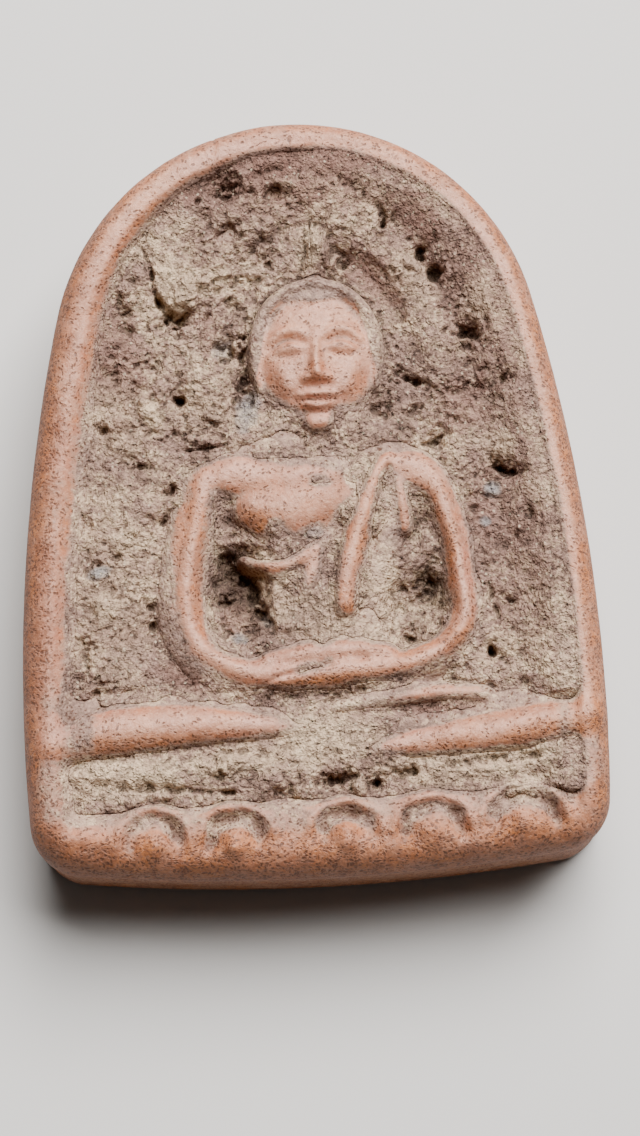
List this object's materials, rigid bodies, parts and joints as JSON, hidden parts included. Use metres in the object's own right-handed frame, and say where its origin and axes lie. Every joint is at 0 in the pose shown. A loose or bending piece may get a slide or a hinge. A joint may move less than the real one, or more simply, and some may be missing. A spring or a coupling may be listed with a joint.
{
  "type": "thai buddha amulet pendant",
  "caption": "Arched fired clay votive tablet with a seated meditating figure in relief on a lotus base, a raised rim, and burial soil in its hollows.",
  "frame": {"origin": "middle of the flat back of the tablet", "axes": "+Y up the tablet towards the top of its arch, +Z out of its face, +X to the viewer's right"},
  "size_m": [0.022, 0.0292, 0.0075],
  "materials": {
    "fired_clay": "worn unglazed terracotta, faintly burnished on its high parts",
    "soil": "dry crumbly earth"
  },
  "bodies": {
    "root": {"clay_tablet": "fired_clay", "field_soil": "soil", "left_halo_soil": "soil", "right_halo_soil": "soil", "lap_soil": "soil", "left_pit_soil": "soil", "right_pit_soil": "soil"}
  },
  "joints": []
}
